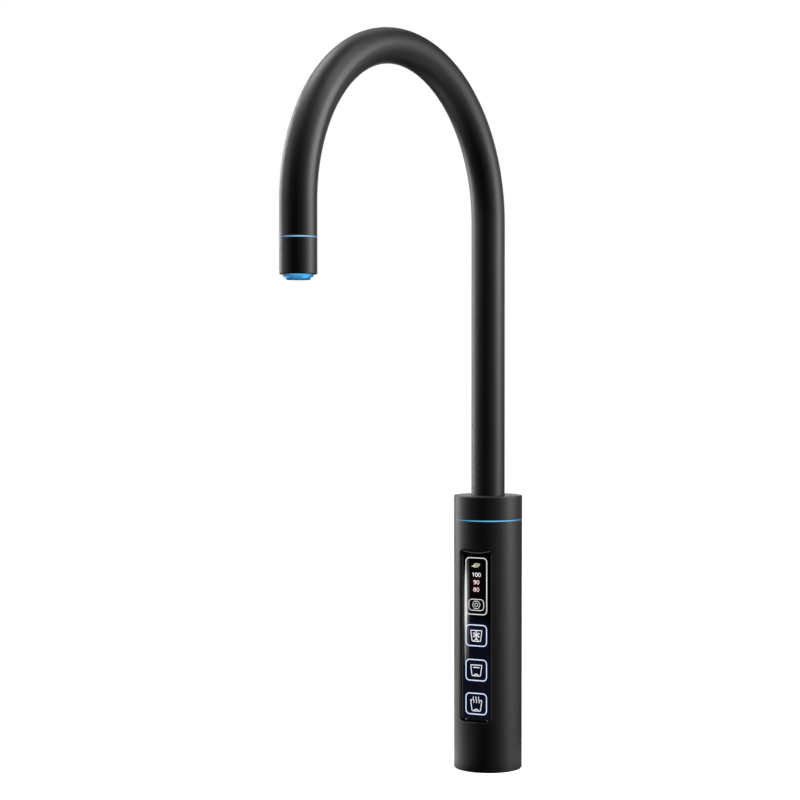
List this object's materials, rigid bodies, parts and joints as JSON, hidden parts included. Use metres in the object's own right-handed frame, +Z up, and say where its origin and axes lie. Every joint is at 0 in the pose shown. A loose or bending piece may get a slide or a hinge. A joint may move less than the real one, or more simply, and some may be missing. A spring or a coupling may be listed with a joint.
{
  "type": "sparkling water tap",
  "caption": "Matte black gooseneck tap for chilled, still and hot water, with a flat glass touch panel in a cylindrical body, blue light rings and a swivelling spout.",
  "frame": {"origin": "on the body's axis, at the mouth of the fixing stud's thread in the plane of the worktop", "axes": "+Z up along the body; the spout points along -Y at rest; the panel's front is turned 8 degrees from -Y towards +X"},
  "size_m": [0.045, 0.2375, 0.4722],
  "materials": {
    "black_coat": "matte black powder coat",
    "panel_glass": "black gloss glass",
    "black_plastic": "fine moulded grain",
    "light_blue_clear": "frosted, lit from behind",
    "deep_blue_clear": "clear blue, lit from behind",
    "brass": "turned",
    "steel": "plain steel",
    "black_rubber": "matte",
    "hose": "milky food-grade hose",
    "natural_plastic": "moulded natural plastic",
    "grey_plastic": "moulded grey plastic",
    "white_plastic": "white moulded plastic",
    "circuit_board": "green solder mask",
    "light_chip": "moulded chip",
    "lead_jacket": "black jacket",
    "sensor_foil": "thin copper-printed foil"
  },
  "bodies": {
    "column": {"body_shell": "black_coat", "base_plug": "brass", "deck_seal": "black_rubber", "hot_inlet_fitting": "brass", "still_inlet_fitting": "brass", "sparkling_inlet_fitting": "brass", "lead_grommet": "black_rubber", "insulating_liner": "grey_plastic", "hot_tail_hose": "hose", "still_tail_hose": "hose", "sparkling_tail_hose": "hose", "nozzle_lead_tail": "lead_jacket", "panel_bezel": "black_plastic", "panel_glass": "panel_glass", "touch_foil": "sensor_foil", "icon_light_box": "white_plastic", "touch_board": "circuit_board", "panel_leds": "light_chip", "board_connector": "white_plastic", "board_screws": "steel", "spout_socket": "brass", "glide_bushes": "natural_plastic", "socket_screws": "steel", "swivel_stop_screw": "steel", "body_light_ring": "light_blue_clear", "ring_led_board": "circuit_board", "ring_leds": "light_chip", "body_cap": "black_coat"},
    "spout": {"spout_tube": "black_coat", "spout_spigot": "brass", "spigot_o_rings": "black_rubber", "thrust_washer": "natural_plastic", "retaining_clip": "steel", "hose_union": "natural_plastic", "hot_riser_hose": "hose", "still_riser_hose": "hose", "sparkling_riser_hose": "hose", "nozzle_lead": "lead_jacket", "outlet_collector": "natural_plastic", "nozzle_coupler": "brass", "nozzle_light_ring": "light_blue_clear", "nozzle_led_board": "circuit_board", "nozzle_leds": "light_chip", "nozzle_sleeve": "black_coat", "outlet_insert": "deep_blue_clear", "outlet_seal": "black_rubber", "flow_straightener": "grey_plastic"}
  },
  "joints": [
    {"name": "spout_swivel", "type": "hinge", "parent": "column", "child": "spout", "pos_m": [0, 0, 0.1629], "axis": [0, 0, 1], "range_deg": [-67, 83], "deforming": ["hot_tail_hose", "still_tail_hose", "sparkling_tail_hose", "nozzle_lead_tail"]}
  ]
}
